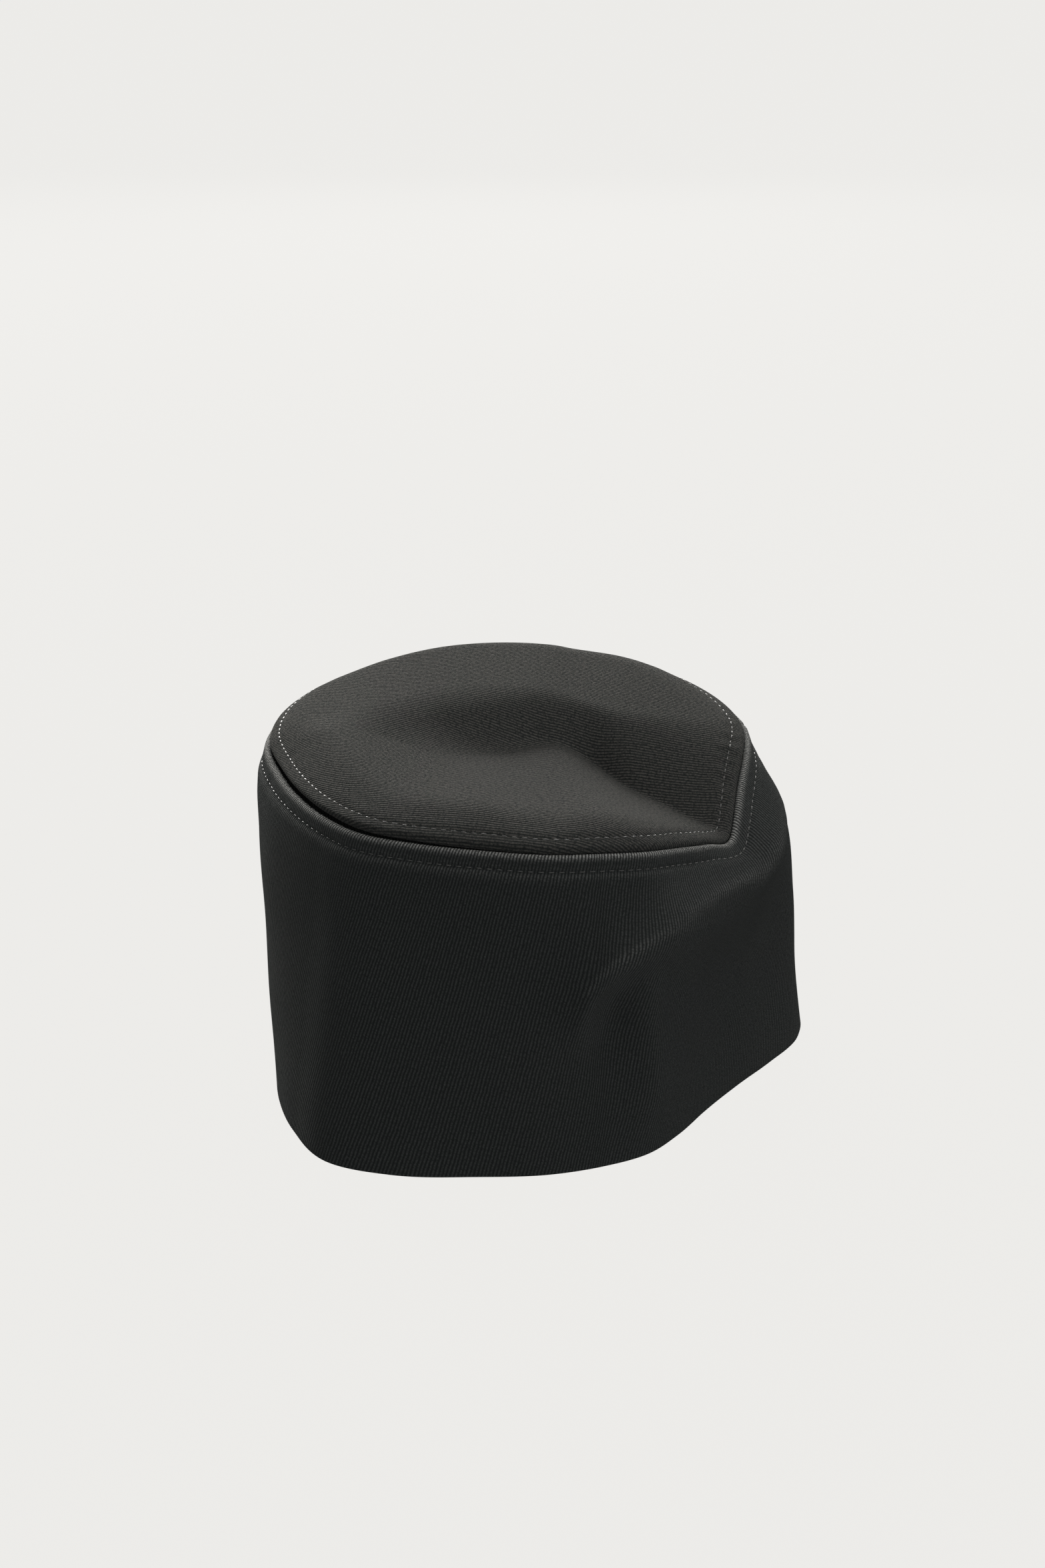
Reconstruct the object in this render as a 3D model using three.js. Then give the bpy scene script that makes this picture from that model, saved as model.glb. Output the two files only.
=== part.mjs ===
import * as THREE from 'three';

// A soft brimless cap of black twill wool, standing on its hem, in millimetres with +Z up. It is
// made of a tall side band and an oval tip, joined by a seam that is pressed open and turned in.
// The long axis of the head opening runs along Y. Angles are in degrees from +X toward +Y.

// Cloth
const CLOTH = 1.6; // one layer
const DOUBLED = 3.0; // two layers: the turned hem and the seam allowances
const HEM_TURN = 0.12; // share of the band's height that the hem is turned up, inside
const BAND_ALLOWANCE = 0.07; // share of the band's height that its seam allowance takes
const TIP_ALLOWANCE = 0.09; // share of the way to the tip's centre that its allowance takes
const SEAM_GAP = 0.4; // between the two turned edges
const GROOVE_DEPTH = 1.7; // from the seam line down to where the edges stand face to face
const EDGE_ROLL = 0.98; // share of the band's height at which its edge starts to roll in
const TIP_EDGE_ROLL = 0.028; // share of the way to the tip's centre at which its edge starts to roll
const LAYER_STEP = 0.005; // share of the band's height over which one layer becomes two
const TIP_LAYER_STEP = 0.006; // the same on the tip, as a share of the way to its centre

// The cap in upright sections around its axis. Radii of the outside at six levels, then the height
// of the seam and the width over which the tip swells up from it.
const SECTION_COLUMNS = [
  'angle', 'hem', 'low', 'middle', 'high', 'shoulder', 'seam', 'seamHeight', 'swell',
];
const SECTIONS = [
  [-166, 88, 91, 94, 97.5, 101, 101, 121.5, 16],
  [-150, 90, 94, 97, 100.5, 104, 103.5, 121, 14],
  [-136, 92, 96, 99, 102, 103.5, 102, 119.5, 14],
  [-122, 93, 97, 99, 101.5, 101, 98, 118, 18],
  [-106, 94, 96, 97, 97, 95, 91, 117, 24],
  [-90, 98, 97, 95.5, 93.5, 91.5, 88.5, 117, 28],
  [-77, 103, 100, 96, 93, 91, 88.5, 117, 30],
  [-63, 109, 104, 99, 94.5, 91.5, 88.5, 117, 30],
  [-50, 104, 100, 96, 91, 87, 84, 116.5, 30],
  [-34, 95, 94.5, 92, 89, 85.5, 82, 116.5, 30],
  [-18, 91, 91, 89.5, 88, 86, 84, 116.5, 30],
  [-6, 88, 88, 88.5, 87.5, 84.5, 83.5, 115.5, 28],
  [6, 85, 85.5, 85, 85, 82, 81.5, 113, 24],
  [18, 79, 79, 79, 79, 76, 76.5, 109, 18],
  [33, 74, 72.5, 74, 75, 73.5, 73.5, 104, 12],
  [48, 75, 73, 76, 78, 77.5, 73, 99.5, 9],
  [56, 78, 77, 79.5, 82, 80, 72, 104, 9],
  [68, 87, 84, 86, 86, 82, 72.5, 110, 12],
  [80, 100, 97, 96.5, 92.5, 84, 77, 115.5, 15],
  [92, 107.5, 103, 101.5, 96.5, 87.5, 83.5, 118, 18],
  [112, 97, 97, 97, 95.5, 92, 90, 121, 20],
  [132, 89, 91, 93, 95, 96, 95, 122, 20],
  [152, 84, 86, 89, 93, 96.5, 96.5, 122, 20],
  [172, 84, 87, 90, 94, 97.5, 98, 122, 18],
];
const SECTION_LEVELS = [0, 0.25, 0.5, 0.75, 0.92, 1]; // shares of the seam's height

// The band's folds, each a line of crest or trough: angle and height along it, how far it pushes
// the cloth out, and how wide it is above and below.
const FOLD_COLUMNS = ['angle', 'height', 'push', 'above', 'below'];
const FOLDS = {
  slantingRidge: [
    [88, 108, 0, 9, 14],
    [75, 103.5, 3.5, 11, 15.5],
    [63, 97.5, 6.2, 12.5, 20],
    [52, 93.5, 8.5, 15, 23],
    [40, 90, 10.4, 16, 25],
    [26, 90.5, 10.9, 18, 25],
    [14, 90, 10.9, 18.5, 22.5],
    [4, 86, 9.9, 19.5, 15.5],
    [-4.5, 80.5, 9.1, 18, 10],
    [-9.5, 72, 7.4, 16.5, 7.5],
    [-11.3, 62, 4.9, 15, 6.5],
    [-12, 52, 2.2, 14, 7],
    [-12.3, 41, 0, 14, 9],
  ],
  dentUnderRidge: [
    [-2, 68, 0, 9, 9],
    [-3, 58, -4.7, 11, 10.5],
    [-3.5, 47, -6, 12.5, 13],
    [-1.5, 35, -2.6, 14, 12.5],
    [0, 20, 0, 13, 13],
  ],
  uprightCrest: [
    [4, 70, 0, 8, 8],
    [5, 60, 1.9, 8, 9],
    [5, 46, 1.8, 8, 9],
    [7, 27, 2.1, 10, 10.5],
    [9, 7, 0, 10, 10],
  ],
  sunkenSide: [
    [24, 60, 0, 16, 22],
    [38, 60.5, -1.2, 19, 24],
    [52, 56, -1.7, 18.5, 24],
    [66, 55, -1.3, 18, 23.5],
    [78, 60, 0, 18, 22],
  ],
};
const MM_PER_DEGREE = 1.48; // around the band, for measuring across a fold
const FOLD_STEPS = 6; // between two rows of a fold
const SIDE_BLEND = 4; // from the width above a fold to the width below it
const CREASED = 'slantingRidge'; // the one fold whose upper side has an edge
const CREASE_ROUNDING = 1; // of that edge
const CREASE_BLEND = 1.5; // across that edge, from the soft side to the creased side
const LIP_SHARE = 0.6; // share of its push that is a narrow lip along the edge
const LIP_WIDTH = 5;
const CREASE_FALL = 1.1; // how quickly the rest falls away, per width
const FOLDS_HELD_FROM = 0.86; // share of the band's height above which the seam holds the folds in

// The tip's relief, laid out along its one valley fold: a row for each place along the valley, with
// how far back the valley lies there and its height, how steeply the lobe in front of it rises, how
// far back the top of the climb behind it lies and its height, how steeply the cloth rises behind
// that top, and how softly the valley is rounded.
const RELIEF_TURN = 68.7; // degrees from the valley's own axes to X and Y
const VALLEY_COLUMNS = [
  'along', 'back', 'height', 'lobeRise', 'topBack', 'topHeight', 'riseBehind', 'rounding',
];
const VALLEY = [
  [-95, 5, 121, -0.12, 16, 123, -0.02, 10],
  [-73, 12, 126.5, -0.06, 25.5, 125.5, 0.01, 10],
  [-54, 13, 125.8, -0.02, 32, 129.7, 0.04, 10],
  [-40, 11, 123, 0.06, 39, 131.9, 0.05, 9],
  [-30, 9, 119.9, 0.11, 42.5, 132.7, 0.06, 8],
  [-19, 10, 117.8, 0.14, 45, 133, 0.07, 7],
  [-8, 13.5, 117, 0.11, 45, 132.9, 0.08, 5],
  [2, 18, 117.5, 0.08, 44, 131.8, 0.1, 3],
  [8, 18, 117.5, 0.07, 42.5, 130.3, 0.12, 2],
  [14, 16, 115.6, 0.1, 39.5, 128.7, 0.11, 1.5],
  [21, 12, 112.3, 0.14, 35.5, 127.3, 0.12, 1.5],
  [33, -1.5, 108.1, 0.19, 31, 125.8, 0.14, 1.5],
  [44, -9, 105.3, 0.2, 31, 124.5, 0.14, 1.5],
  [56, -18, 102.2, 0.21, 30.5, 123, 0.14, 1.5],
  [69, -27, 100, 0.17, 30, 121.9, 0.13, 1.5],
  [90, -40, 98, 0.2, 30, 117.5, 0.1, 1.5],
];
const CLIMB_STEEPNESS = 1.5; // at the valley, against a straight climb to the top
const CLIMB_BELOW = -0.5; // how far the climb's slope runs on in front of the valley
const PLATEAU_HEIGHT = 131.5; // of the swollen back half, at its front edge
const PLATEAU_EDGE = 40; // how far back that front edge lies
const PLATEAU_CLIMB = 0.07; // rise toward the back
const PLATEAU_DROOP = 0.0006; // fall to the sides, per mm squared
const PLATEAU_MIDDLE = -30; // where along the valley the plateau is highest
const PLATEAU_ROUNDING = 4; // how softly the slope turns into the plateau
const LOBE_HEIGHT = 124.5; // of the front half
const LOBE_ROUNDING = 6;
const SWELL_POWER = 2.6; // how quickly the tip swells up from the seam
const TIP_CENTRE = [-11.5, 17.4]; // X and Y at the bend of the valley

// Facets
const SEGMENTS = 90;
const BAND_OUTSIDE = [0, 0.1, 0.2, 0.3, 0.39, 0.48, 0.57, 0.65, 0.73, 0.8, 0.86, 0.92, EDGE_ROLL];
const BAND_INSIDE = [0.86, 0.8, 0.73, 0.65, 0.57, 0.48, 0.39, 0.3, 0.2];
const TIP_OUTSIDE = [TIP_EDGE_ROLL, 0.07, 0.13, 0.2, 0.28, 0.37, 0.47, 0.57, 0.67, 0.78, 0.89];
const TIP_INSIDE = [0.2, 0.37, 0.57, 0.78];
const ROLL_ANGLES = [45, 90];

// Small steps for measuring which way the cloth faces
const SMALL_TURN = 0.5; // degrees
const SMALL_SHARE = 0.004;
const BESIDE_SEAM = 0.03; // share of either cloth's way, where its facing at the seam is taken
const WELL_BELOW_SEAM = 0.9; // share of the band's height

const radians = THREE.MathUtils.degToRad;
const column = (rows, columns, name) => rows.map((row) => row[columns.indexOf(name)]);

// Smooth curve through points, its slope at each one taken from the neighbours
function curveThrough(xs, ys) {
  const last = xs.length - 1;
  const rise = (i) => (ys[i + 1] - ys[i]) / (xs[i + 1] - xs[i]);
  const slopes = xs.map((x, i) => {
    if (i === 0 || i === last) return 0;
    const before = xs[i] - xs[i - 1];
    const after = xs[i + 1] - xs[i];
    return (rise(i - 1) * after + rise(i) * before) / (before + after);
  });
  slopes[0] = 1.5 * rise(0) - 0.5 * slopes[1];
  slopes[last] = 1.5 * rise(last - 1) - 0.5 * slopes[last - 1];
  return (x) => {
    let i = 0;
    while (i < last - 1 && x >= xs[i + 1]) i += 1;
    const span = xs[i + 1] - xs[i];
    const t = (x - xs[i]) / span;
    return (1 + 2 * t) * (1 - t) ** 2 * ys[i] + t * (1 - t) ** 2 * span * slopes[i]
      + t * t * (3 - 2 * t) * ys[i + 1] + t * t * (t - 1) * span * slopes[i + 1];
  };
}

// Smooth curve of one section column all the way around
function curveAround(name) {
  const angles = column(SECTIONS, SECTION_COLUMNS, 'angle');
  const values = column(SECTIONS, SECTION_COLUMNS, name);
  const turns = [-360, 0, 360];
  return curveThrough(
    turns.flatMap((turn) => angles.map((angle) => angle + turn)),
    turns.flatMap(() => values),
  );
}

const around = Object.fromEntries(
  SECTION_COLUMNS.slice(1).map((name) => [name, curveAround(name)]),
);
const levelNames = ['hem', 'low', 'middle', 'high', 'shoulder', 'seam'];

// Each fold as a fine chain of points
const foldChains = Object.entries(FOLDS).map(([name, rows]) => {
  const places = rows.map((row, i) => i);
  const curves = FOLD_COLUMNS.map((item) => curveThrough(places, column(rows, FOLD_COLUMNS, item)));
  const count = (rows.length - 1) * FOLD_STEPS;
  return Array.from({ length: count + 1 }, (_, i) => {
    const [angle, height, push, above, below] = curves.map((curve) => curve(i / FOLD_STEPS));
    return {
      x: (angle - rows[0][0]) * MM_PER_DEGREE, y: height, push, above, below, from: rows[0][0], name,
    };
  });
});

// What is left of a fold's push at a distance from it, which may lie above it, or below if negative
function falloff(name, distance, width, above) {
  const soft = Math.exp(-((distance / width) ** 2));
  if (name !== CREASED) return soft;
  const away = Math.hypot(distance, CREASE_ROUNDING) - CREASE_ROUNDING;
  const lip = Math.exp(-away / LIP_WIDTH);
  const sharp = THREE.MathUtils.lerp(Math.exp((-CREASE_FALL * away) / width), lip, LIP_SHARE);
  return THREE.MathUtils.lerp(soft, sharp, (1 + Math.tanh(above / CREASE_BLEND)) / 2);
}

// How far all the folds together push the cloth out at a place on the band
function foldPush(angle, height) {
  let total = 0;
  for (const chain of foldChains) {
    const turn = ((((angle - chain[0].from + 180) % 360) + 360) % 360) - 180;
    const x = turn * MM_PER_DEGREE;
    let nearest = Infinity;
    let push = 0;
    for (let i = 0; i < chain.length - 1; i += 1) {
      const [a, b] = [chain[i], chain[i + 1]];
      const [dx, dy] = [b.x - a.x, b.y - a.y];
      const length = Math.hypot(dx, dy);
      const t = THREE.MathUtils.clamp(((x - a.x) * dx + (height - a.y) * dy) / length ** 2, 0, 1);
      const [offX, offY] = [x - a.x - t * dx, height - a.y - t * dy];
      const distance = Math.hypot(offX, offY);
      if (distance < nearest) {
        const above = (Math.sign(dx) * (dx * offY - dy * offX)) / length;
        const [upper, lower] = ['above', 'below'].map((k) => THREE.MathUtils.lerp(a[k], b[k], t));
        const width = (upper + lower + Math.tanh(above / SIDE_BLEND) * (upper - lower)) / 2;
        nearest = distance;
        push = THREE.MathUtils.lerp(a.push, b.push, t) * falloff(a.name, distance, width, above);
      }
    }
    total += push;
  }
  return total;
}

// A point at an angle around the axis
const polar = (angle, radius, height) => new THREE.Vector3(
  radius * Math.cos(radians(angle)), radius * Math.sin(radians(angle)), height,
);

// The band's outside at a share of its height, 0 at the hem and 1 at the seam
function bandPoint(angle, share) {
  const radius = curveThrough(SECTION_LEVELS, levelNames.map((name) => around[name](angle)))(share);
  const height = share * around.seamHeight(angle);
  const hold = 1 - THREE.MathUtils.clamp((share - FOLDS_HELD_FROM) / (1 - FOLDS_HELD_FROM), 0, 1) ** 2;
  return polar(angle, radius + hold * foldPush(angle, height), height);
}

const seamPoint = (angle) => polar(angle, around.seam(angle), around.seamHeight(angle));

// The lower or the higher of two heights, rounded off where they meet
const softMin = (a, b, rounding) => {
  const t = THREE.MathUtils.clamp(0.5 + (b - a) / (2 * rounding), 0, 1);
  return b + (a - b) * t - rounding * t * (1 - t);
};
const softMax = (a, b, rounding) => -softMin(-a, -b, rounding);

const valley = Object.fromEntries(VALLEY_COLUMNS.slice(1).map((name) => [
  name, curveThrough(column(VALLEY, VALLEY_COLUMNS, 'along'), column(VALLEY, VALLEY_COLUMNS, name)),
]));

// Height of the tip over the plan: a front lobe and a climb to the back plateau meet in the valley
function relief(x, y) {
  const [c, s] = [Math.cos(radians(RELIEF_TURN)), Math.sin(radians(RELIEF_TURN))];
  const along = c * x + s * y;
  const back = c * y - s * x;
  const [valleyBack, floor, lobeRise, topBack, topHeight, riseBehind, rounding] = VALLEY_COLUMNS
    .slice(1).map((name) => valley[name](along));
  const up = THREE.MathUtils.clamp((back - valleyBack) / (topBack - valleyBack), CLIMB_BELOW, 1);
  const bend = up < 0 ? 0 : (CLIMB_STEEPNESS - 1) * up ** 2;
  const climbed = topHeight - floor - riseBehind * (topBack - valleyBack);
  const plateau = PLATEAU_HEIGHT + PLATEAU_CLIMB * (back - PLATEAU_EDGE)
    - PLATEAU_DROOP * (along - PLATEAU_MIDDLE) ** 2;
  const climb = softMin(
    floor + climbed * up * (CLIMB_STEEPNESS - bend) + riseBehind * (back - valleyBack),
    plateau,
    PLATEAU_ROUNDING,
  );
  const lobe = softMin(floor - lobeRise * (back - valleyBack), LOBE_HEIGHT, LOBE_ROUNDING);
  return softMax(climb, lobe, rounding);
}

// The tip's outside at a share of the way from the seam, 0, to its centre, 1
function tipPoint(angle, share) {
  const start = seamPoint(angle);
  const centre = new THREE.Vector3(...TIP_CENTRE, start.z);
  const inward = THREE.MathUtils.clamp((start.distanceTo(centre) * share) / around.swell(angle), 0, 1);
  const swell = 1 - (1 - inward) ** SWELL_POWER;
  const point = start.clone().lerp(centre, share);
  point.z = THREE.MathUtils.lerp(start.z, relief(point.x, point.y), swell);
  return point;
}

// Outward normal of either outside, from small steps around and along it
function normalOf(surface, angle, share) {
  const round = surface(angle + SMALL_TURN, share).sub(surface(angle - SMALL_TURN, share));
  const along = surface(angle, share + SMALL_SHARE).sub(surface(angle, share - SMALL_SHARE));
  return round.cross(along).normalize();
}

// The inside of the cloth at a depth under its outside
const under = (surface, share, depth) => (angle) => surface(angle, share)
  .addScaledVector(normalOf(surface, angle, share), -depth);

// At the seam both cloths turn in, side by side, along the plane that halves the corner
function seamFrame(angle) {
  const band = normalOf(bandPoint, angle, 1 - BESIDE_SEAM);
  const tip = normalOf(tipPoint, angle, BESIDE_SEAM);
  const inward = band.clone().add(tip).normalize().negate();
  const along = seamPoint(angle + SMALL_TURN).sub(seamPoint(angle - SMALL_TURN)).normalize();
  const toBand = along.clone().cross(inward).negate().normalize();
  if (toBand.dot(bandPoint(angle, WELL_BELOW_SEAM).sub(seamPoint(angle))) < 0) toBand.negate();
  return { point: seamPoint(angle), inward, toBand, spread: -inward.dot(band) };
}

// A point on the face that an edge turns to the seam, at a depth under the seam line
function edgeFace(side, depth) {
  return (angle) => {
    const frame = seamFrame(angle);
    return frame.point.addScaledVector(frame.inward, depth / frame.spread)
      .addScaledVector(frame.toBand, (side * SEAM_GAP) / 2);
  };
}

// The rounded edge between the outside and that face: a quarter of an ellipse
function rolledEdge(surface, share, side, degrees) {
  return (angle) => {
    const corner = edgeFace(side, 0)(angle);
    const start = surface(angle, share).sub(corner).multiplyScalar(1 - Math.sin(radians(degrees)));
    const end = edgeFace(side, GROOVE_DEPTH)(angle).sub(corner)
      .multiplyScalar(1 - Math.cos(radians(degrees)));
    return corner.add(start).add(end);
  };
}

// Closed skin over rings of points, each ring a function of the angle. With no end points the last
// ring joins the first; with them each end closes on its point.
function skin(rings, ends = null) {
  const angles = Array.from({ length: SEGMENTS }, (_, j) => -180 + (360 / SEGMENTS) * j);
  const points = rings.flatMap((ring) => angles.map(ring));
  const at = (i, j) => (i % rings.length) * SEGMENTS + (j % SEGMENTS);
  const faces = [];
  const strips = ends ? rings.length - 1 : rings.length;
  for (let i = 0; i < strips; i += 1) {
    for (let j = 0; j < SEGMENTS; j += 1) {
      faces.push(at(i, j), at(i, j + 1), at(i + 1, j + 1), at(i, j), at(i + 1, j + 1), at(i + 1, j));
    }
  }
  if (ends) {
    const first = points.push(ends[0]) - 1;
    const last = points.push(ends[1]) - 1;
    for (let j = 0; j < SEGMENTS; j += 1) {
      faces.push(first, at(0, j + 1), at(0, j));
      faces.push(at(rings.length - 1, j), at(rings.length - 1, j + 1), last);
    }
  }
  const geometry = new THREE.BufferGeometry().setFromPoints(points);
  geometry.setIndex(faces);
  return geometry;
}

// Side band: up the outside, over the rolled edge into the seam, and down the inside past the seam
// allowance and the turned hem. The hem's underside is level.
const levelHem = (ring) => (angle) => ring(angle).setZ(0);
const bandRings = [
  ...BAND_OUTSIDE.map((share) => (angle) => bandPoint(angle, share)),
  ...ROLL_ANGLES.map((degrees) => rolledEdge(bandPoint, EDGE_ROLL, 1, degrees)),
  edgeFace(1, DOUBLED),
  under(bandPoint, 1 - BAND_ALLOWANCE + LAYER_STEP, DOUBLED),
  under(bandPoint, 1 - BAND_ALLOWANCE - LAYER_STEP, CLOTH),
  ...BAND_INSIDE.map((share) => under(bandPoint, share, CLOTH)),
  under(bandPoint, HEM_TURN + LAYER_STEP, CLOTH),
  under(bandPoint, HEM_TURN - LAYER_STEP, DOUBLED),
  levelHem(under(bandPoint, 0, DOUBLED)),
];
const band = skin(bandRings);

// Crown tip: outward under the cloth, past its allowance to the seam, and back over the top
const tipRings = [
  ...TIP_INSIDE.map((share) => under(tipPoint, share, CLOTH)).reverse(),
  under(tipPoint, TIP_ALLOWANCE + TIP_LAYER_STEP, CLOTH),
  under(tipPoint, TIP_ALLOWANCE - TIP_LAYER_STEP, DOUBLED),
  edgeFace(-1, DOUBLED),
  ...ROLL_ANGLES.map((degrees) => rolledEdge(tipPoint, TIP_EDGE_ROLL, -1, degrees)).reverse(),
  ...TIP_OUTSIDE.map((share) => (angle) => tipPoint(angle, share)),
];
const centreHeight = relief(...TIP_CENTRE);
const tip = skin(tipRings, [centreHeight - CLOTH, centreHeight].map(
  (height) => new THREE.Vector3(...TIP_CENTRE, height),
));

// Centred over the origin
const box = new THREE.Box3();
for (const geometry of [band, tip]) {
  geometry.computeBoundingBox();
  box.union(geometry.boundingBox);
}
const middle = box.getCenter(new THREE.Vector3());

const cap = new THREE.Group();
cap.name = 'wool_cap';
const pieces = [
  ['side_band', band, 0x1d1f1f],
  ['crown_tip', tip, 0x1f2020],
];
for (const [name, geometry, colour] of pieces) {
  geometry.translate(-middle.x, -middle.y, 0);
  geometry.computeVertexNormals();
  const material = new THREE.MeshStandardMaterial({ color: colour, roughness: 0.95, metalness: 0 });
  material.name = name;
  const mesh = new THREE.Mesh(geometry, material);
  mesh.name = name;
  cap.add(mesh);
}

export default cap;
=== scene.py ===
import math

import bpy
import numpy as np
from mathutils import Matrix, Vector


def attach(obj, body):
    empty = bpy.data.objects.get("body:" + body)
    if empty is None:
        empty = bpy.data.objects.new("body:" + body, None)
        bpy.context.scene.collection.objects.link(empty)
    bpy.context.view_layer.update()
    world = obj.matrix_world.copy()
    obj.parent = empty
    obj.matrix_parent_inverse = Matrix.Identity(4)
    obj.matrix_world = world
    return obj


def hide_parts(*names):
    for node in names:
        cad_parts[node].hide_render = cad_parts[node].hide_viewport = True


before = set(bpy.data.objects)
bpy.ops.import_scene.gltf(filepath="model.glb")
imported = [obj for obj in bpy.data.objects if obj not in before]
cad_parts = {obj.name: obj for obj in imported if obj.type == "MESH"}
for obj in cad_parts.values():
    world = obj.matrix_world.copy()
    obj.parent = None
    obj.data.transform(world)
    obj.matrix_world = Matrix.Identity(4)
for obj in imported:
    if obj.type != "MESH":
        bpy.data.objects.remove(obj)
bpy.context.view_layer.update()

# Side band. One tall straight strip of heavy black twill wool, closed by a plain seam at the back
# of the head. The hem is turned up inside, and at the top the edge is turned in along the seam to
# the tip and topstitched. One side has sunk in under a slanting ridge.

WOOL = 1.1  # mm thick
FOLDED_WOOL = 2.5  # mm, two layers and the air between them
HEM_TURNED_UP = 14.0
SEAM_ALLOWANCE = 8.0
SEAM_OPENING = 0.16  # between the two turned edges
EDGE_SHOULDER = 2.4  # how far from the seam line the edges start to turn in
EDGE_DEPTH = 1.7
TOPSTITCH_FROM_SEAM = 6.5
BACK_SEAM_AT = 96.0  # degrees from +X toward +Y, as all angles here
COLUMNS_ROUND = 400

# The cap in upright sections round its axis, in mm: angle, then the outside's radius at six levels
# from hem to seam, the seam's height, and how far in from the seam the tip swells up
SECTIONS = np.array([
    (-166, 88, 91, 94, 97.5, 101, 101, 121.5, 16),
    (-150, 90, 94, 97, 100.5, 104, 103.5, 121, 14),
    (-136, 92, 96, 99, 102, 103.5, 102, 119.5, 14),
    (-122, 93, 97, 99, 101.5, 101, 98, 118, 18),
    (-106, 94, 96, 97, 97, 95, 91, 117, 24),
    (-90, 98, 97, 95.5, 93.5, 91.5, 88.5, 117, 28),
    (-77, 103, 100, 96, 93, 91, 88.5, 117, 30),
    (-63, 109, 104, 99, 94.5, 91.5, 88.5, 117, 30),
    (-50, 104, 100, 96, 91, 87, 84, 116.5, 30),
    (-34, 95, 94.5, 92, 89, 85.5, 82, 116.5, 30),
    (-18, 91, 91, 89.5, 88, 86, 84, 116.5, 30),
    (-6, 88, 88, 88.5, 87.5, 84.5, 83.5, 115.5, 28),
    (6, 85, 85.5, 85, 85, 82, 81.5, 113, 24),
    (18, 79, 79, 79, 79, 76, 76.5, 109, 18),
    (33, 74, 72.5, 74, 75, 73.5, 73.5, 104, 12),
    (48, 75, 73, 76, 78, 77.5, 73, 99.5, 9),
    (56, 78, 77, 79.5, 82, 80, 72, 104, 9),
    (68, 87, 84, 86, 86, 82, 72.5, 110, 12),
    (80, 100, 97, 96.5, 92.5, 84, 77, 115.5, 15),
    (92, 107.5, 103, 101.5, 96.5, 87.5, 83.5, 118, 18),
    (112, 97, 97, 97, 95.5, 92, 90, 121, 20),
    (132, 89, 91, 93, 95, 96, 95, 122, 20),
    (152, 84, 86, 89, 93, 96.5, 96.5, 122, 20),
    (172, 84, 87, 90, 94, 97.5, 98, 122, 18),
], float)
SEAM_RADIUS, SEAM_HEIGHT, TIP_SWELL = 6, 7, 8  # columns of the sections
LEVELS = [0, 0.25, 0.5, 0.75, 0.92, 1]  # shares of the seam's height
AXIS = np.array([1.4529, -3.5111, 0.0])  # where the sections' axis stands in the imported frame

# The band's folds: angle, height, how far it stands out, and its width above and below
FOLDS = {
    "slanting ridge": [
        (88, 108, 0, 9, 14), (75, 103.5, 3.5, 11, 15.5), (63, 97.5, 6.2, 12.5, 20),
        (52, 93.5, 8.5, 15, 23), (40, 90, 10.4, 16, 25), (26, 90.5, 10.9, 18, 25),
        (14, 90, 10.9, 18.5, 22.5), (4, 86, 9.9, 19.5, 15.5), (-4.5, 80.5, 9.1, 18, 10),
        (-9.5, 72, 7.4, 16.5, 7.5), (-11.3, 62, 4.9, 15, 6.5), (-12, 52, 2.2, 14, 7),
        (-12.3, 41, 0, 14, 9),
    ],
    "dent under the ridge": [
        (-2, 68, 0, 9, 9), (-3, 58, -4.7, 11, 10.5), (-3.5, 47, -6, 12.5, 13),
        (-1.5, 35, -2.6, 14, 12.5), (0, 20, 0, 13, 13),
    ],
    "upright crest": [
        (4, 70, 0, 8, 8), (5, 60, 1.9, 8, 9), (5, 46, 1.8, 8, 9), (7, 27, 2.1, 10, 10.5),
        (9, 7, 0, 10, 10),
    ],
    "sunken side": [
        (24, 60, 0, 16, 22), (38, 60.5, -1.2, 19, 24), (52, 56, -1.7, 18.5, 24),
        (66, 55, -1.3, 18, 23.5), (78, 60, 0, 18, 22),
    ],
}
MM_PER_DEGREE = 1.48  # round the band, for measuring across a fold
FOLD_STEPS = 6  # between two rows of a fold
SIDE_BLEND = 4  # from the width above a fold to the width below it
CREASED = "slanting ridge"  # the one fold whose upper side has an edge
CREASE_ROUNDING = 1  # of that edge
CREASE_BLEND = 1.5  # across that edge, from the soft side to the creased side
LIP_SHARE = 0.6  # of its push, which is a narrow lip along the edge
LIP_WIDTH = 5
CREASE_FALL = 1.1  # how quickly the rest falls away, per width
FOLDS_HELD_FROM = 0.86  # share of the height above which the seam holds the folds in


# Smooth curve through places and values. The values may be columns, one for each column of `at`.
def smooth_curve(places, values, at):
    x, y = np.asarray(places, float), np.asarray(values, float)
    span = np.diff(x) if y.ndim == 1 else np.diff(x)[:, None]
    rise = np.diff(y, axis=0) / span
    slope = np.empty_like(y)
    slope[1:-1] = (rise[:-1] * span[1:] + rise[1:] * span[:-1]) / (span[1:] + span[:-1])
    slope[0] = 1.5 * rise[0] - 0.5 * slope[1]
    slope[-1] = 1.5 * rise[-1] - 0.5 * slope[-2]
    at = np.asarray(at, float)
    i = np.clip(np.searchsorted(x, at, side="right") - 1, 0, len(x) - 2)
    pick = (lambda a, k: a[k]) if y.ndim == 1 else (lambda a, k: a[k, np.arange(y.shape[1])])
    step = x[i + 1] - x[i]
    t = (at - x[i]) / step
    return (
        (1 + 2 * t) * (1 - t) ** 2 * pick(y, i) + t * (1 - t) ** 2 * step * pick(slope, i)
        + t * t * (3 - 2 * t) * pick(y, i + 1) + t * t * (t - 1) * step * pick(slope, i + 1)
    )


# One column of the sections, all the way round
def section(column, angle):
    places = np.concatenate([SECTIONS[:, 0] + turn for turn in (-360, 0, 360, 720)])
    return smooth_curve(places, np.tile(SECTIONS[:, column], 4), angle)


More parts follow.
